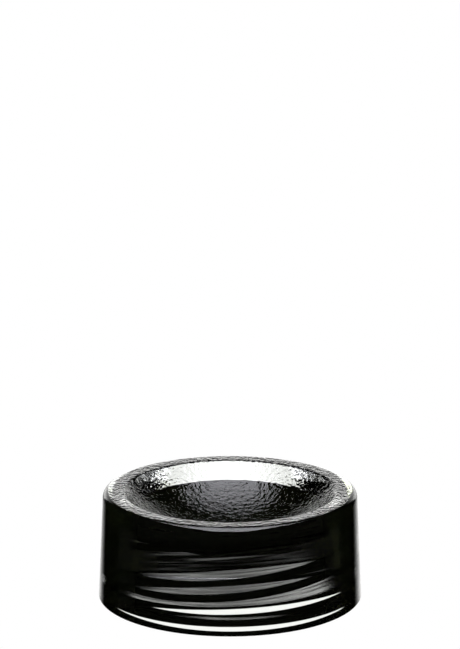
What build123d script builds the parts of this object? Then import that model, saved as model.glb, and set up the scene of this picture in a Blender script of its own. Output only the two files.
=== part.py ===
from build123d import *

import os
from math import cos, radians, sin, sqrt

# Cased glass tealight holder: clear glass with black glass trails wound through it.
#
# Frame: millimetres, +Z up, origin at the centre of the foot ring, on the table.
# The holder is one fused casting. Each node is one gather or trail of glass, as it is
# laid down at the furnace: the outer casing (a cup), the clear core inside it, the
# black trails wound on the core, the dark pool pressed flat under the dish, and the
# clear top gather whose upper face is the rim and the dish.

# ---------------------------------------------------------------- driving dimensions
height = 39.5            # table to rim
base_radius = 48.0       # outside of the wall, at the table
top_radius = 46.1        # outside of the wall, at the rim
foot_edge = 0.8          # polished round at the foot
rim_edge = 2.0           # polished round from wall to rim
foot_ring_width = 7.0    # flat ring that the holder stands on
foot_recess = 0.5        # how far the polished underside stands off the table

dish_radius = 38.5       # the ridge where the rim turns down into the dish
dish_depth = 17.0        # rim to the lowest point of the dish
lip_round = 1.8          # soft round of that ridge

casing_wall = 3.5        # clear glass outside the trails
casing_base = 2.5        # clear glass under the trails
rim_skin = 3.0           # clear glass under the flat of the rim
dish_skin = 1.2          # clear glass under the dish
pool_depth = 1.5         # dark glass under the middle of the dish
pool_margin = 3.8        # the pool stops this far inside the top gather's bowl
trail_depth = 1.6        # how thick a trail is, from casing to core

# ---------------------------------------------------------------- the trails
# Bearing of a trail's middle and its reach to each side, in degrees; a bearing of 270
# faces the front. Then the heights of its lower and of its upper edge at its start, its
# middle and its end, as per cent of the wound height (trail floor to rim skin). The
# trails of one bearing are listed from the foot up. Where one would cross the trail
# listed before it, it lies on that trail's upper edge.
trails = {
    "trail_front_foot": (270, 84.0, (1.0, 1.9, 4.0), (11.6, 14.3, 17.8)),
    "trail_front_thread": (270, 84.0, (1.5, 20.4, 12.7), (14.8, 22.7, 23.4)),
    "trail_front_swoosh": (270, 84.0, (25.3, 28.6, 45.9), (29.1, 37.1, 51.2)),
    "trail_front_middle": (270, 84.0, (17.2, 45.3, 34.8), (43.6, 51.8, 67.3)),
    "trail_front_shoulder": (270, 84.0, (28.5, 61.8, 48.6), (59.1, 82.6, 76.2)),
    "trail_front_rim": (270, 84.0, (60.6, 84.6, 78.4), (99.0, 99.0, 99.0)),
    "trail_right_foot": (35, 40.5, (4.1, 5.3, 7.6), (17.4, 14.1, 10.6)),
    "trail_right_low": (35, 40.5, (18.8, 19.7, 17.4), (22.9, 25.0, 19.7)),
    "trail_right_thread": (35, 40.5, (28.8, 30.9, 27.4), (32.4, 35.6, 30.9)),
    "trail_right_middle": (35, 40.5, (38.2, 39.1, 32.1), (43.2, 46.5, 37.6)),
    "trail_right_shoulder": (41.5, 47.0, (46.8, 53.2, 56.2), (57.4, 62.1, 60.9)),
    "trail_right_rim": (41.5, 47.0, (61.8, 64.4, 63.2), (89.7, 69.7, 67.1)),
    "trail_left_foot": (145, 40.5, (7.6, 3.2, 1.2), (10.6, 11.5, 11.5)),
    "trail_left_low": (145, 40.5, (17.4, 15.0, 13.8), (19.7, 20.0, 17.1)),
    "trail_left_thread": (145, 40.5, (27.4, 25.6, 25.6), (30.6, 32.1, 29.4)),
    "trail_left_middle": (145, 40.5, (32.1, 34.4, 31.5), (37.6, 43.8, 42.6)),
    "trail_left_shoulder": (138.5, 47.0, (56.2, 53.2, 45.6), (60.9, 61.5, 64.7)),
    "trail_left_rim": (138.5, 47.0, (63.2, 65.0, 69.1), (67.1, 69.7, 89.7)),
}

# ---------------------------------------------------------------- derived places
wall_lean = (base_radius - top_radius) / height
ring_inner_radius = base_radius - foot_ring_width
dish_bottom = height - dish_depth
dish_sphere = (dish_radius**2 + dish_depth**2) / (2 * dish_depth)
dish_centre = dish_bottom + dish_sphere
rim_underside = height - rim_skin
wound_height = rim_underside - casing_base

skin_sphere = dish_sphere + dish_skin
skin_bottom = dish_bottom - dish_skin
skin_edge_radius = sqrt(skin_sphere**2 - (dish_centre - rim_underside) ** 2)

pool_bottom = skin_bottom - pool_depth
pool_rise = rim_underside - pool_bottom
pool_sphere = (skin_edge_radius**2 + pool_rise**2) / (2 * pool_rise)
pool_edge_radius = skin_edge_radius - pool_margin
pool_edge_top = dish_centre - sqrt(skin_sphere**2 - pool_edge_radius**2)
pool_edge_bottom = pool_bottom + pool_sphere - sqrt(pool_sphere**2 - pool_edge_radius**2)


def wall_point(z, inset=0.0):
    """A point of the leaning wall at height z, or of a cone that far inside it."""
    return (base_radius - wall_lean * z - inset, z)


# ---------------------------------------------------------------- outer casing
# A clear cup: leaning wall, thin base with a recessed underside, and a foot ring.
with BuildPart() as outer_casing:
    with BuildSketch(Plane.XZ):
        with BuildLine():
            Polyline(
                (0, foot_recess),
                (ring_inner_radius, foot_recess),
                (ring_inner_radius + foot_recess, 0),
                wall_point(0),
                wall_point(height),
                wall_point(height, casing_wall),
                wall_point(casing_base, casing_wall),
                (0, casing_base),
                close=True,
            )
        make_face()
    revolve(axis=Axis.Z)
    rings = outer_casing.edges().filter_by(GeomType.CIRCLE)
    foot_circle = rings.group_by(Axis.Z)[0].sort_by(SortBy.LENGTH)[-1]
    rim_circle = rings.group_by(Axis.Z)[-1].sort_by(SortBy.LENGTH)[-1]
    fillet(foot_circle, radius=foot_edge)
    fillet(rim_circle, radius=rim_edge)

# ---------------------------------------------------------------- top gather
# The last clear gather: the flat of the rim, its rounded ridge and the pressed dish.
with BuildPart() as top_gather:
    with BuildSketch(Plane.XZ):
        with BuildLine():
            Line((0, skin_bottom), (0, dish_bottom))
            RadiusArc((0, dish_bottom), (dish_radius, height), -dish_sphere)
            Polyline(
                (dish_radius, height),
                wall_point(height, casing_wall),
                wall_point(rim_underside, casing_wall),
                (skin_edge_radius, rim_underside),
            )
            RadiusArc((skin_edge_radius, rim_underside), (0, skin_bottom), skin_sphere)
        make_face()
    revolve(axis=Axis.Z)
    rings = top_gather.edges().filter_by(GeomType.CIRCLE)
    ridge = rings.group_by(Axis.Z)[-1].sort_by(SortBy.LENGTH)[0]
    fillet(ridge, radius=lip_round)

# ---------------------------------------------------------------- dark pool
# Black glass pressed into a shallow bowl under the dish, thinning towards its edge.
with BuildPart() as dark_pool:
    with BuildSketch(Plane.XZ):
        with BuildLine():
            Line((0, pool_bottom), (0, skin_bottom))
            RadiusArc((0, skin_bottom), (pool_edge_radius, pool_edge_top), -skin_sphere)
            Line((pool_edge_radius, pool_edge_top), (pool_edge_radius, pool_edge_bottom))
            RadiusArc((pool_edge_radius, pool_edge_bottom), (0, pool_bottom), pool_sphere)
        make_face()
    revolve(axis=Axis.Z)


# ---------------------------------------------------------------- trails
def edge_plane(shares, reach, outward, along):
    """The tilted plane that meets the core at a trail edge's three given heights."""
    start, middle, end = (casing_base + wound_height * share / 100 for share in shares)
    bow = (middle - (start + end) / 2) / (1 - cos(radians(reach)))
    climb = (end - start) / (2 * sin(radians(reach)))
    slope = (outward * bow + along * climb) / wall_point(middle, casing_wall)[0]
    return Plane(origin=(0, 0, middle - bow), z_dir=(-slope.X, -slope.Y, 1))


def make_trail(bearing, reach, floors, upper):
    """One flattened strand of black glass, lying between the casing and the core.

    It is the slice of a thin leaning ring above some tilted planes, the floors, and
    below the plane of its own upper edge, cut off at its two ends.
    """
    outward = Vector(cos(radians(bearing)), sin(radians(bearing)), 0)
    along = Vector(-sin(radians(bearing)), cos(radians(bearing)), 0)
    end_distance = wall_point(0, casing_wall)[0] * cos(radians(reach))
    with BuildPart() as trail:
        with BuildSketch(Plane.XZ):
            with BuildLine():
                Polyline(
                    wall_point(casing_base, casing_wall),
                    wall_point(rim_underside, casing_wall),
                    wall_point(rim_underside, casing_wall + trail_depth),
                    wall_point(casing_base, casing_wall + trail_depth),
                    close=True,
                )
            make_face()
        revolve(axis=Axis.Z)
        for floor in floors:
            split(bisect_by=edge_plane(floor, reach, outward, along), keep=Keep.TOP)
        split(bisect_by=edge_plane(upper, reach, outward, along), keep=Keep.BOTTOM)
        split(bisect_by=Plane(origin=outward * end_distance, z_dir=outward), keep=Keep.TOP)
    return trail.part


trail_parts = {}
upper_below = {}         # by bearing, the upper edge of the trail listed before
for trail_name, (bearing, reach, lower, upper) in trails.items():
    floors = [lower, upper_below[bearing]] if bearing in upper_below else [lower]
    trail_parts[trail_name] = make_trail(bearing, reach, floors, upper)
    upper_below[bearing] = upper

# ---------------------------------------------------------------- core gather
# The clear glass that the trails are wound on, with a groove where each one sank in.
with BuildPart() as core_gather:
    with BuildSketch(Plane.XZ):
        with BuildLine():
            RadiusArc((0, pool_bottom), (pool_edge_radius, pool_edge_bottom), -pool_sphere)
            Line((pool_edge_radius, pool_edge_bottom), (pool_edge_radius, pool_edge_top))
            RadiusArc(
                (pool_edge_radius, pool_edge_top),
                (skin_edge_radius, rim_underside),
                -skin_sphere,
            )
            Polyline(
                (skin_edge_radius, rim_underside),
                wall_point(rim_underside, casing_wall),
                wall_point(casing_base, casing_wall),
                (0, casing_base),
                (0, pool_bottom),
            )
        make_face()
    revolve(axis=Axis.Z)
    for trail_part in trail_parts.values():
        add(trail_part, mode=Mode.SUBTRACT)

# ---------------------------------------------------------------- one file per node
os.makedirs("parts", exist_ok=True)

outer_casing.part.label = "outer_casing"
export_step(outer_casing.part, "parts/outer_casing.step")

core_gather.part.label = "core_gather"
export_step(core_gather.part, "parts/core_gather.step")

dark_pool.part.label = "dark_pool"
export_step(dark_pool.part, "parts/dark_pool.step")

top_gather.part.label = "top_gather"
export_step(top_gather.part, "parts/top_gather.step")

for trail_name, trail_part in trail_parts.items():
    trail_part.label = trail_name
    export_step(trail_part, f"parts/{trail_name}.step")
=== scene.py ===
import math

import bmesh
import bpy
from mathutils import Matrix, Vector


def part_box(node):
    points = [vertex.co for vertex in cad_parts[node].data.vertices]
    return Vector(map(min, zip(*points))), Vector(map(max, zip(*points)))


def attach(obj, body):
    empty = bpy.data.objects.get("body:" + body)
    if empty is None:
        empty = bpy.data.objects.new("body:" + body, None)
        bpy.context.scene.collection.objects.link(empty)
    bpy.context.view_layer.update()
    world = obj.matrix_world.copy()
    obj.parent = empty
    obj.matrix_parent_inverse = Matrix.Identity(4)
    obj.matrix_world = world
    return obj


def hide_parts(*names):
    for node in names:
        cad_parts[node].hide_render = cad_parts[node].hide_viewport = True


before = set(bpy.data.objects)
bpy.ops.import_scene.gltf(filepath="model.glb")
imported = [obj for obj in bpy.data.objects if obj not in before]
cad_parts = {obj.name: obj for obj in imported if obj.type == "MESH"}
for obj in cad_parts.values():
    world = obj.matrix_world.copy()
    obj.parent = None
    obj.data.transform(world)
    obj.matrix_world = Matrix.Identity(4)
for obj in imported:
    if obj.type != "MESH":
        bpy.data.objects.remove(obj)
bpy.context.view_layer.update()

# ---------------------------------------------------------------- crystal body
# The clear glass that everything else is sealed in: three gathers fused without a seam,
# so they are one piece here. It is pressed in a polished iron mould, fire-polished on
# the wall and edges, and chilled by the plunger to a hammered skin on the rim and dish.
MM = 0.001
casing_low, casing_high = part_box("outer_casing")
height = casing_high.z
foot_radius = casing_high.x
top_radius = foot_radius - 1.86 * MM      # the wall leans in by this much at the rim
rim_edge = 2.0 * MM                       # polished round from wall to rim
foot_edge = 0.8 * MM                      # polished round at the foot
ring_width = 7.0 * MM                     # flat ring that the holder stands on
ring_recess = 0.5 * MM                    # the underside stands off the table by this
dish_radius = 38.5 * MM                   # the ridge where the rim turns into the dish
dish_depth = 17.0 * MM
lip_round = 1.8 * MM                      # soft round of that ridge
dish_sphere = (dish_radius**2 + dish_depth**2) / (2 * dish_depth)
turns = 384                               # facets round the body
dish_rings = 44


def deselect_all():
    """Nothing selected, so that the next operator acts on the new piece alone."""
    if bpy.context.object and bpy.context.object.mode != "OBJECT":
        bpy.ops.object.mode_set(mode="OBJECT")
    bpy.ops.object.select_all(action="DESELECT")


def start_piece(name):
    """The object that was just added, named and in edit mode with all of it selected."""
    piece = bpy.context.object
    piece.name = name
    piece.data.name = name
    bpy.ops.object.mode_set(mode="EDIT")
    bpy.ops.mesh.select_all(action="SELECT")
    return piece


def select_by(piece, kind, test):
    """In edit mode: selects the faces, edges or verts of a piece that pass the test."""
    bpy.ops.mesh.select_mode(type={"verts": "VERT", "edges": "EDGE", "faces": "FACE"}[kind])
    bpy.ops.mesh.select_all(action="DESELECT")
    bm = bmesh.from_edit_mesh(piece.data)
    for part in getattr(bm, kind):
        if test(part):
            part.select_set(True)
    bm.select_flush_mode()
    bmesh.update_edit_mesh(piece.data)


def finish_piece(piece, smooth_angle=40):
    """Back to object mode, place applied, shaded smooth except over sharp corners."""
    bpy.ops.object.mode_set(mode="OBJECT")
    bpy.ops.object.transform_apply(location=True, rotation=True, scale=True)
    bpy.ops.object.shade_smooth_by_angle(angle=math.radians(smooth_angle))
    return piece


def draw_in(old_radius, new_radius, rise):
    """Extrudes the selected end face to a new ring, drawn in about the axis and lifted."""
    bpy.ops.mesh.extrude_region_move(TRANSFORM_OT_translate={"value": (0, 0, rise)})
    share = new_radius / old_radius
    bpy.ops.transform.resize(value=(share, share, 1), center_override=(0, 0, 0))


deselect_all()
bpy.ops.mesh.primitive_cylinder_add(
    vertices=turns, radius=foot_radius, depth=height, location=(0, 0, height / 2)
)
body = start_piece("crystal_body")
select_by(body, "faces", lambda f: f.normal.z > 0.9)
wall_share = top_radius / foot_radius
bpy.ops.transform.resize(value=(wall_share, wall_share, 1), center_override=(0, 0, 0))
bpy.ops.mesh.select_mode(type="EDGE")
bpy.ops.mesh.bevel(offset=rim_edge, segments=6, affect="EDGES")
select_by(body, "faces", lambda f: f.normal.z < -0.9)
bpy.ops.mesh.bevel(offset=foot_edge, segments=4, affect="EDGES")

# The foot: a flat ring, and inside it the polished underside, a little off the table.
select_by(body, "faces", lambda f: f.normal.z < -0.99)
ring_outer = foot_radius - foot_edge
ring_inner = foot_radius - ring_width
draw_in(ring_outer, ring_inner, 0)
draw_in(ring_inner, ring_inner - ring_recess, ring_recess)
under = [ring_inner - ring_recess, 25 * MM, 12 * MM, 1 * MM]
for outer, inner in zip(under, under[1:]):
    draw_in(outer, inner, 0)
bpy.ops.mesh.merge(type="CENTER")

# The rim, its rounded ridge and the round dish, ring by ring in to the middle.
lip_circle = dish_sphere + lip_round      # the round of the ridge rolls on the dish
lip_drop = dish_sphere - dish_depth + lip_round
lip_centre = math.sqrt(lip_circle**2 - lip_drop**2)
path = [((top_radius - rim_edge), height)]
for step in range(1, 5):
    path.append((path[0][0] + (lip_centre - path[0][0]) * step / 4, height))
lip_turn = math.asin(lip_centre / lip_circle)
for step in range(1, 9):
    turn = lip_turn * step / 8
    path.append(
        (
            lip_centre - lip_round * math.sin(turn),
            height - lip_round + lip_round * math.cos(turn),
        )
    )
dish_turn = math.asin(path[-1][0] / dish_sphere)
dish_middle = height - dish_depth + dish_sphere
for step in range(1, dish_rings):
    turn = dish_turn * (1 - step / dish_rings)
    path.append((dish_sphere * math.sin(turn), dish_middle - dish_sphere * math.cos(turn)))
select_by(body, "faces", lambda f: f.normal.z > 0.99 and f.calc_center_median().z > height / 2)
for (old_radius, old_z), (new_radius, new_z) in zip(path, path[1:]):
    draw_in(old_radius, new_radius, new_z - old_z)
bpy.ops.mesh.merge(type="CENTER")
select_by(body, "verts", lambda v: v.co.xy.length < 1e-6 and v.co.z > height / 4)
bpy.ops.transform.translate(value=(0, 0, height - dish_depth - path[-1][1]))
bpy.ops.mesh.select_all(action="SELECT")
bpy.ops.mesh.normals_make_consistent(inside=False)
finish_piece(body)


def linear(hex_colour):
    """An sRGB hex value as the linear colour that a shader takes."""
    shares = [int(hex_colour[i : i + 2], 16) / 255 for i in (1, 3, 5)]
    return [c / 12.92 if c <= 0.04045 else ((c + 0.055) / 1.055) ** 2.4 for c in shares]


def add_node(tree, kind, settings=None, links=None):
    """Adds one node. settings are its properties, and links its inputs, by name or place:
    an output of another node to link, or a value to set."""
    made = tree.nodes.new(kind)
    for name, value in (settings or {}).items():
        setattr(made, name, value)
    for place, value in (links or {}).items():
        if isinstance(value, bpy.types.NodeSocket):
            tree.links.new(value, made.inputs[place])
        else:
            made.inputs[place].default_value = value
    return made


def start_material(name):
    """A new material with no nodes left in it, and its node tree."""
    material = bpy.data.materials.new(name)
    material.use_nodes = True
    material.node_tree.nodes.clear()
    return material, material.node_tree


# Clear crystal glass, fire-polished: a clean mirror skin with a faint cool green in depth.
crystal, tree = start_material("fire_polished_crystal")
shader = add_node(
    tree,
    "ShaderNodeBsdfPrincipled",
    links={
        "Base Color": [*linear("#fbfdfb"), 1],
        "Roughness": 0.0,
        "IOR": 1.52,
        "Transmission Weight": 1.0,
    },
)
add_node(tree, "ShaderNodeOutputMaterial", links={"Surface": shader.outputs[0]})

# The same crystal chilled by the plunger: ripples 1.4 mm across, that break up the mirror.
hammered, tree = start_material("hammered_crystal")
place = add_node(tree, "ShaderNodeTexCoord")
ripple = add_node(
    tree,
    "ShaderNodeTexNoise",
    links={"Vector": place.outputs["Object"], "Scale": 1 / (1.4 * MM), "Detail": 1.0},
)
hammer = add_node(
    tree,
    "ShaderNodeBump",
    links={"Strength": 1.0, "Distance": 0.36 * MM, "Height": ripple.outputs[0]},
)
shader = add_node(
    tree,
    "ShaderNodeBsdfPrincipled",
    links={
        "Base Color": [*linear("#fbfdfb"), 1],
        "Roughness": 0.03,
        "IOR": 1.52,
        "Transmission Weight": 1.0,
        "Normal": hammer.outputs[0],
    },
)
add_node(tree, "ShaderNodeOutputMaterial", links={"Surface": shader.outputs[0]})

body.data.materials.append(crystal)
body.data.materials.append(hammered)
for face in body.data.polygons:
    middle = face.center
    flat_rim = middle.z > height - 0.05 * MM and middle.xy.length < top_radius - rim_edge
    in_dish = middle.z > 10 * MM and middle.xy.length < lip_centre
    face.material_index = 1 if flat_rim or in_dish else 0
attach(body, "root")
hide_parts("outer_casing", "core_gather", "top_gather")

# ---------------------------------------------------------------- dark pool
# Black glass that the plunger squeezed flat under the dish. It is sealed in the crystal,
# so it has no shine of its own: one even near-black, with a trace of olive.
pool_radius = 33.5 * MM
dish_skin = 1.2 * MM                      # clear glass over it
pool_depth = 1.5 * MM
pool_sphere = dish_sphere + dish_skin
pool_edge_z = dish_middle - math.sqrt(pool_sphere**2 - pool_radius**2)

deselect_all()
bpy.ops.mesh.primitive_uv_sphere_add(
    segments=192, ring_count=192, radius=pool_sphere, location=(0, 0, dish_middle)
)
pool = start_piece("dark_pool_glass")
bpy.ops.mesh.bisect(plane_co=(0, 0, pool_edge_z), plane_no=(0, 0, 1), clear_outer=True)
finish_piece(pool)
thick = pool.modifiers.new("depth", "SOLIDIFY")
thick.thickness = pool_depth
thick.offset = 1
bpy.ops.object.modifier_apply(modifier=thick.name)
black_glass, tree = start_material("black_olive_glass")
shader = add_node(
    tree,
    "ShaderNodeBsdfPrincipled",
    links={
        "Base Color": [*linear("#0a0b05"), 1],
        "Roughness": 0.6,
        "Specular IOR Level": 0.0,
    },
)
add_node(tree, "ShaderNodeOutputMaterial", links={"Surface": shader.outputs[0]})
pool.data.materials.append(black_glass)
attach(pool, "root")
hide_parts("dark_pool")

# ---------------------------------------------------------------- trails
# Strands of black glass drawn off a rod and wound round the core as it turned, so each
# is a long flat band that climbs. Between the strands the glass smeared out to smoke.
trail_inset = 3.5 * MM                    # clear glass outside the trails
strand_depth = 1.0 * MM
smoke_depth = 0.4 * MM                    # the smear, on the core side of the strands
smoke_gap = 0.1 * MM                      # between a strand and the smear behind it
smoke_lap = 0.8                           # mm that the smear runs on behind a strand
side_cover = 0.955                        # cover of each face at a trail's sides


def edge_plane(heights, reach, outward, along):
    """The tilted plane through an edge's heights in mm at its start, middle and end:
    its height on the axis, and its slope."""
    start, middle, end = (level * MM for level in heights)
    bow = (middle - (start + end) / 2) / (1 - math.cos(math.radians(reach)))
    climb = (end - start) / (2 * math.sin(math.radians(reach)))
    core_radius = foot_radius - (foot_radius - top_radius) * middle / height - trail_inset
    return middle - bow, (outward * bow + along * climb) / core_radius


def wind_band(name, glass, bearing, reach, floors, upper, inset, depth):
    """One band of glass: a leaning ring cut above each of the floors, below its upper
    edge, and off at both ends. Its flow map runs along it in cm, and across it from 0 to
    1, and its ends map is how far it still has to go, in cm."""
    deselect_all()
    outward = Vector((math.cos(math.radians(bearing)), math.sin(math.radians(bearing)), 0))
    along = Vector((-outward.y, outward.x, 0))
    bpy.ops.mesh.primitive_cone_add(
        vertices=360,
        radius1=foot_radius - inset,
        radius2=top_radius - inset,
        depth=height,
        end_fill_type="NOTHING",
        location=(0, 0, height / 2),
    )
    band = start_piece(name)
    edges = [edge_plane(heights, reach, outward, along) for heights in (*floors, upper)]
    for level, slope in edges:
        below = (level, slope) != edges[-1]
        bpy.ops.mesh.select_all(action="SELECT")
        bpy.ops.mesh.bisect(
            plane_co=(0, 0, level),
            plane_no=(-slope.x, -slope.y, 1),
            clear_inner=below,
            clear_outer=not below,
            threshold=0.001 * MM,
        )
    bpy.ops.mesh.select_all(action="SELECT")
    core_radius = foot_radius - inset
    bpy.ops.mesh.bisect(
        plane_co=outward * core_radius * math.cos(math.radians(reach)),
        plane_no=outward,
        clear_inner=True,
    )
    finish_piece(band)
    flow = band.data.uv_layers.new(name="flow")
    ends = band.data.uv_layers.new(name="ends")
    half_length = math.radians(reach) * core_radius * 100
    for loop in band.data.loops:
        co = band.data.vertices[loop.vertex_index].co
        low, high = (level + slope.dot(co) for level, slope in (edges[0], edges[-1]))
        angle = math.atan2(co.dot(along), co.dot(outward))
        run = angle * core_radius * 100
        flow.data[loop.index].uv = (run, (co.z - low) / (high - low))
        ends.data[loop.index].uv = (half_length - abs(run), 0)
    thick = band.modifiers.new("depth", "SOLIDIFY")
    thick.thickness = depth
    thick.offset = -1
    bpy.ops.object.modifier_apply(modifier=thick.name)
    band.data.materials.append(glass)
    return band


def streaked_glass(name, thin, thick, across, faint=0.35, dense=0.65, side=(3.4, 4.4)):
    """Glass seen from the side of a trail. Streaks run along it: thin is its cover where
    the noise is faint, and thick where the noise is dense. Past side, in cm from the
    middle of the trail, it thickens and turns a lighter, greener dark olive: painted
    light, as if lit from the side through the dark glass. It thins out at its two ends."""
    material, tree = start_material(name)
    flow = add_node(tree, "ShaderNodeUVMap", {"uv_map": "flow"})
    stretch = add_node(
        tree,
        "ShaderNodeMapping",
        links={"Vector": flow.outputs[0], "Scale": (0.3, across, 1.0)},
    )
    streak = add_node(
        tree,
        "ShaderNodeTexNoise",
        links={"Vector": stretch.outputs[0], "Scale": 1.0, "Detail": 3.0, "Distortion": 0.4},
    )
    cover = add_node(
        tree,
        "ShaderNodeMapRange",
        {"interpolation_type": "SMOOTHSTEP"},
        {"Value": streak.outputs[0], 1: faint, 2: dense, 3: thin, 4: thick},
    )
    place = add_node(tree, "ShaderNodeSeparateXYZ", links={0: flow.outputs[0]})
    reach = add_node(
        tree, "ShaderNodeMath", {"operation": "ABSOLUTE"}, {0: place.outputs[0]}
    )
    painted_light_sides = add_node(
        tree,
        "ShaderNodeMapRange",
        {"interpolation_type": "SMOOTHSTEP"},
        {"Value": reach.outputs[0], 1: side[0], 2: side[1], 3: 0.0, 4: 1.0},
    )
    alpha = add_node(
        tree,
        "ShaderNodeMix",
        links={0: painted_light_sides.outputs[0], 2: cover.outputs[0], 3: side_cover},
    )
    to_end = add_node(tree, "ShaderNodeUVMap", {"uv_map": "ends"})
    to_end = add_node(tree, "ShaderNodeSeparateXYZ", links={0: to_end.outputs[0]})
    ending = add_node(
        tree,
        "ShaderNodeMapRange",
        {"interpolation_type": "SMOOTHSTEP"},
        {"Value": to_end.outputs[0], 1: -0.05, 2: 0.5, 3: 0.0, 4: 1.0},
    )
    alpha = add_node(
        tree,
        "ShaderNodeMath",
        {"operation": "MULTIPLY"},
        {0: alpha.outputs[0], 1: ending.outputs[0]},
    )
    # Near-black olive in the middle of a trail; at its sides a lighter, greener olive, painted light as
    # if lit from the side through the dark glass.
    colour = add_node(
        tree,
        "ShaderNodeMix",
        {"data_type": "RGBA"},
        {0: painted_light_sides.outputs[0], 6: [*linear("#0a0b07"), 1], 7: [*linear("#0e1006"), 1]},
    )
    shader = add_node(
        tree,
        "ShaderNodeBsdfPrincipled",
        links={
            "Base Color": colour.outputs[2],
            "Roughness": 0.6,
            "Specular IOR Level": 0.0,
            "Alpha": alpha.outputs[0],
        },
    )
    add_node(tree, "ShaderNodeOutputMaterial", links={"Surface": shader.outputs[0]})
    return material


# Black glass drawn out: nearly solid in the strands, smoke between them, and in between
# at the shoulder. The streaks are what the eye takes for the pull of the glass.
strand_glass = streaked_glass("black_strand_glass", 0.78, 1.0, 6.0, 0.30, 0.42)
smoke_glass = streaked_glass("smoke_glass", 0.50, 0.78, 5.0, side=(2.5, 3.9))
low_smoke_glass = streaked_glass("low_smoke_glass", 0.42, 0.76, 5.0)
line_glass = streaked_glass("thin_smoke_glass", 0.52, 0.90, 1.2, side=(0.5, 2.6))
dense_glass = streaked_glass("dense_smoke_glass", 0.72, 1.0, 9.0, 0.30, 0.58, (2.3, 3.6))

# Front trails: heights in mm of each strand's edges, at their start, middle and end.
foot_low, foot_high = (0.08, 0.08, 0.08), (2.83, 1.25, 2.83)
second_low, second_high = (2.06, 3.0, 2.36), (6.47, 7.36, 8.58)
line_low, line_high = (5.3, 5.5, 5.7), (2.5, 6.5, 2.9)
thread_low, thread_high = (3.0, 9.44, 6.82), (7.52, 10.23, 10.47)
swoosh_low, swoosh_high = (11.09, 12.24, 18.10), (12.38, 15.12, 19.92)
middle_low, middle_high = (8.36, 17.90, 14.33), (17.32, 20.12, 25.39)
shoulder_low, shoulder_high = (12.18, 23.51, 19.04), (22.6, 30.6, 28.4)
rim_low, rim_high = (22.6, 30.6, 28.4), (38.2, 38.2, 38.2)


def behind(edge, rise):
    """A strand's edge, raised or lowered, for the smoke that runs on behind it."""
    return tuple(level + rise for level in edge)


FRONT, RIGHT, LEFT = (270, 84.0), (35, 40.5), (145, 40.5)
HIGH_RIGHT, HIGH_LEFT = (41.5, 47.0), (138.5, 47.0)
layout = {
    "trail_front_foot": (
        (strand_glass, *FRONT, (foot_low,), foot_high),
        (strand_glass, *FRONT, (second_low, foot_high), line_low),
        (line_glass, 270, 50.0, ((4.7, 4.9, 5.1),), (6.9, 7.1, 7.3)),
        (strand_glass, *FRONT, (line_low, line_high), second_high),
    ),
    "trail_front_thread": (
        (strand_glass, *FRONT, (thread_low, second_high), thread_high),
        (low_smoke_glass, 270, 80.0, (behind(thread_high, -smoke_lap),), behind(swoosh_low, smoke_lap)),
    ),
    "trail_front_swoosh": (
        (strand_glass, *FRONT, (swoosh_low,), swoosh_high),
        (smoke_glass, 270, 80.0, (behind(swoosh_high, -smoke_lap),), behind(middle_low, smoke_lap)),
    ),
    "trail_front_middle": (
        (strand_glass, *FRONT, (middle_low, swoosh_high), middle_high),
        (smoke_glass, 270, 80.0, (behind(middle_high, -smoke_lap),), behind(shoulder_low, smoke_lap)),
    ),
    "trail_front_shoulder": ((dense_glass, *FRONT, (shoulder_low, middle_high), shoulder_high),),
    "trail_front_rim": ((strand_glass, *FRONT, (rim_low,), rim_high),),
    "trail_right_foot": ((strand_glass, *RIGHT, ((3.9, 4.3, 5.1),), (8.4, 7.3, 6.1)),),
    "trail_right_low": ((strand_glass, *RIGHT, ((8.9, 9.2, 8.4),), (10.3, 11.0, 9.2)),),
    "trail_right_thread": ((strand_glass, *RIGHT, ((12.3, 13.0, 11.8),), (13.5, 14.6, 13.0)),),
    "trail_right_middle": ((strand_glass, *RIGHT, ((15.5, 15.8, 13.4),), (17.2, 18.3, 15.3)),),
    "trail_right_shoulder": ((strand_glass, *HIGH_RIGHT, ((18.4, 20.6, 21.6),), (22.0, 23.6, 23.2)),),
    "trail_right_rim": ((strand_glass, *HIGH_RIGHT, ((23.5, 24.4, 24.0),), (33.0, 26.2, 25.3)),),
    "trail_left_foot": ((strand_glass, *LEFT, ((5.1, 3.6, 2.9),), (6.1, 6.4, 6.4)),),
    "trail_left_low": ((strand_glass, *LEFT, ((8.4, 7.6, 7.2),), (9.2, 9.3, 8.3)),),
    "trail_left_thread": ((strand_glass, *LEFT, ((11.8, 11.2, 11.2),), (12.9, 13.4, 12.5)),),
    "trail_left_middle": ((strand_glass, *LEFT, ((13.4, 14.2, 13.2),), (15.3, 17.4, 17.0)),),
    "trail_left_shoulder": ((strand_glass, *HIGH_LEFT, ((21.6, 20.6, 18.0),), (23.2, 23.4, 24.5)),),
    "trail_left_rim": ((strand_glass, *HIGH_LEFT, ((24.0, 24.6, 26.0),), (25.3, 26.2, 33.0)),),
}
for name, bands in layout.items():
    made = []
    for glass, bearing, reach, floors, upper in bands:
        smeared = glass in (smoke_glass, low_smoke_glass, line_glass)
        inset = trail_inset + (strand_depth + smoke_gap if smeared else 0)
        depth = smoke_depth if smeared else strand_depth
        made.append(
            wind_band(name + "_glass", glass, bearing, reach, floors, upper, inset, depth)
        )
    deselect_all()
    for band in made:
        band.select_set(True)
    trail = made[0]
    bpy.context.view_layer.objects.active = trail
    if len(made) > 1:
        bpy.ops.object.join()
    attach(trail, "root")
    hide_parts(name)

# ---------------------------------------------------------------- studio
# A pale backdrop, a light box overhead and two slim coloured strips behind. It is not one
# real room: the light is set by direction, and differs for rays that went through the
# glass and rays off its skin. The camera itself sees only white paper.
backdrop_half_width = math.tan(math.radians(50.5))
box_strength = 5.2
paper_tint, box_tint, strip_tint = (1.0, 1.0, 0.985), (0.98, 0.98, 1.05), (1.0, 1.15, 0.5)
world = bpy.data.worlds.new("studio")
bpy.context.scene.world = world
world.use_nodes = True
tree = world.node_tree
tree.nodes.clear()

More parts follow.
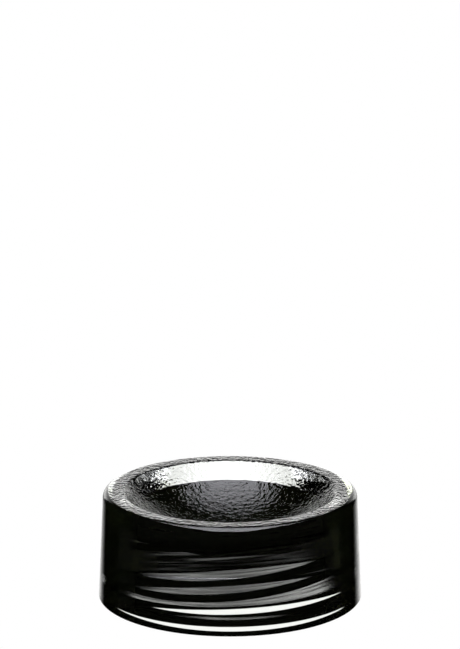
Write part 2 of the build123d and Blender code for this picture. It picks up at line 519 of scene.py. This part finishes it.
# A ray's direction, and how far it leans to the side for each step away or up.
direction = add_node(tree, "ShaderNodeTexCoord")
parts = add_node(tree, "ShaderNodeSeparateXYZ", links={0: direction.outputs["Generated"]})
ray = add_node(tree, "ShaderNodeLightPath")
x, y, z = parts.outputs
side = add_node(tree, "ShaderNodeMath", {"operation": "ABSOLUTE"}, {0: x}).outputs[0]
away = add_node(tree, "ShaderNodeMath", {"operation": "ABSOLUTE"}, {0: y}).outputs[0]
away = add_node(tree, "ShaderNodeMath", {"operation": "MAXIMUM"}, {0: away, 1: 0.001}).outputs[0]
rise = add_node(tree, "ShaderNodeMath", {"operation": "MAXIMUM"}, {0: z, 1: 0.001}).outputs[0]
spread = add_node(tree, "ShaderNodeMath", {"operation": "DIVIDE"}, {0: side, 1: away}).outputs[0]
lean = add_node(tree, "ShaderNodeMath", {"operation": "DIVIDE"}, {0: x, 1: away}).outputs[0]
box_x = add_node(tree, "ShaderNodeMath", {"operation": "DIVIDE"}, {0: side, 1: rise}).outputs[0]
box_y = add_node(tree, "ShaderNodeMath", {"operation": "DIVIDE"}, {0: y, 1: rise}).outputs[0]


def patch_of_light(strength, *edges):
    """A patch of the studio as bright as strength, inside soft edges. An edge is a measure,
    and its values where the patch is dark and where it is fully lit."""
    for measure, dark_at, lit_at in edges:
        within = add_node(
            tree,
            "ShaderNodeMapRange",
            {"interpolation_type": "SMOOTHSTEP"},
            {"Value": measure, 1: dark_at, 2: lit_at, 3: 0.0, 4: 1.0},
        )
        strength = add_node(
            tree,
            "ShaderNodeMath",
            {"operation": "MULTIPLY"},
            {0: strength, 1: within.outputs[0]},
        ).outputs[0]
    return strength


passes = ray.outputs["Transmission Depth"]
through_glass, off_the_skin = (passes, 0.5, 1.5), (passes, 1.5, 0.5)
behind_it, above, below = (y, -0.02, 0.02), (z, -0.08, 0.04), (z, 0.04, -0.08)

# The backdrop and table, as they are seen through the glass, and as the skin mirrors them.
table_mirror = patch_of_light(
    1.06, (lean, 0.76, 0.20), (lean, -0.66, -0.06), below, behind_it, off_the_skin
)
backdrop_mirror = patch_of_light(
    1.06 * 1.8, (spread, 0.60, 0.46), (z, 0.46, 0.10), above, behind_it, off_the_skin
)
backdrop = patch_of_light(
    1.06,
    (spread, backdrop_half_width * 1.08, backdrop_half_width * 0.90),
    (z, 0.56, 0.50),
    through_glass,
)
near_table = patch_of_light(1.06, (z, -0.42, -0.52), through_glass)
backdrop = add_node(
    tree, "ShaderNodeMath", {"operation": "MAXIMUM"}, {0: backdrop, 1: near_table}
).outputs[0]

# The light box overhead, and the lit ceiling round it, which only the glass lets through.
light_box = patch_of_light(
    box_strength, (box_x, 0.49, 0.46), (box_y, -1.6, -1.5), (box_y, 0.8, -0.15), (z, 0.0, 0.05)
)
ceiling = patch_of_light(1.0, (z, 0.5, 0.6), through_glass)
light_box = add_node(
    tree, "ShaderNodeMath", {"operation": "MAXIMUM"}, {0: light_box, 1: ceiling}
).outputs[0]

# Two slim strip lights behind, left and right. Their own light is yellow-green, and it is
# seen only through the glass, so they turn its dark sides olive; the trails' sides also
# carry a lighter olive of painted light.
left_strip = patch_of_light(
    2.6 * 0.9, (lean, -0.90, -0.94), (lean, -1.13, -1.09), (z, 0.0, -0.05), behind_it, through_glass
)
right_strip = patch_of_light(
    0.90, (lean, 0.67, 0.70), (lean, 0.80, 0.77), (z, 0.0, -0.05), behind_it, through_glass
)

glow = None
for light, tint in (
    (table_mirror, paper_tint),
    (backdrop_mirror, paper_tint),
    (backdrop, paper_tint),
    (light_box, box_tint),
    (left_strip, strip_tint),
    (right_strip, strip_tint),
):
    source = add_node(
        tree, "ShaderNodeBackground", links={"Color": (*tint, 1.0), "Strength": light}
    )
    if glow:
        source = add_node(
            tree, "ShaderNodeAddShader", links={0: glow.outputs[0], 1: source.outputs[0]}
        )
    glow = source
paper = add_node(
    tree, "ShaderNodeBackground", links={"Color": (1, 1, 1, 1), "Strength": 1.0}
)
seen = add_node(
    tree,
    "ShaderNodeMixShader",
    links={0: ray.outputs["Is Camera Ray"], 1: glow.outputs[0], 2: paper.outputs[0]},
)
add_node(tree, "ShaderNodeOutputWorld", links={"Surface": seen.outputs[0]})

# The table top. Only the camera sees it, so it takes no shadow and mirrors nothing.
deselect_all()
bpy.ops.mesh.primitive_plane_add(size=6, location=(0, 0, -0.05 * MM))
table_top = bpy.context.object
table_top.name = "table_top"
table_paper, tree = start_material("table_paper")
shine = add_node(
    tree, "ShaderNodeEmission", links={"Color": (1, 1, 1, 1), "Strength": 1.0}
)
add_node(tree, "ShaderNodeOutputMaterial", links={"Surface": shine.outputs[0]})
table_top.data.materials.append(table_paper)
for ray_kind in ("diffuse", "glossy", "transmission", "shadow"):
    setattr(table_top, "visible_" + ray_kind, False)

# A black disc under the holder, painted shadow: it stands for the table in the holder's own shade, so
# that the foot draws dark.
deselect_all()
bpy.ops.mesh.primitive_circle_add(
    vertices=96, radius=40 * MM, fill_type="NGON", location=(0, 0, -0.02 * MM)
)
painted_shadow_disc = bpy.context.object
painted_shadow_disc.name = "painted_shadow_under_holder"
unlit, tree = start_material("painted_shadow_black")
shine = add_node(
    tree, "ShaderNodeEmission", links={"Color": (0, 0, 0, 1), "Strength": 0.0}
)
add_node(tree, "ShaderNodeOutputMaterial", links={"Surface": shine.outputs[0]})
painted_shadow_disc.data.materials.append(unlit)

# ---------------------------------------------------------------- camera
# A long lens, a good step back and a little above the rim. It is aimed well above the
# holder, which therefore stands low in the frame.
view_distance = 1.275
view_drop = math.radians(17.68)
eye = Vector((0, -math.cos(view_drop), math.sin(view_drop))) * view_distance + Vector((0, 0, 0.020))
aim = Vector((0, 0, 0.1015))
camera_data = bpy.data.cameras.new("camera")
camera = bpy.data.objects.new("camera", camera_data)
bpy.context.scene.collection.objects.link(camera)
bpy.context.scene.camera = camera
camera_data.sensor_width = 36
camera_data.lens = 193.9
camera_data.clip_start = 0.05
camera.location = eye
camera.rotation_mode = "QUATERNION"
camera.rotation_quaternion = (aim - eye).to_track_quat("-Z", "Y")

scene = bpy.context.scene
scene.view_settings.view_transform = "Standard"
scene.cycles.max_bounces = 32
scene.cycles.transmission_bounces = 24
scene.cycles.glossy_bounces = 12
scene.cycles.transparent_max_bounces = 64
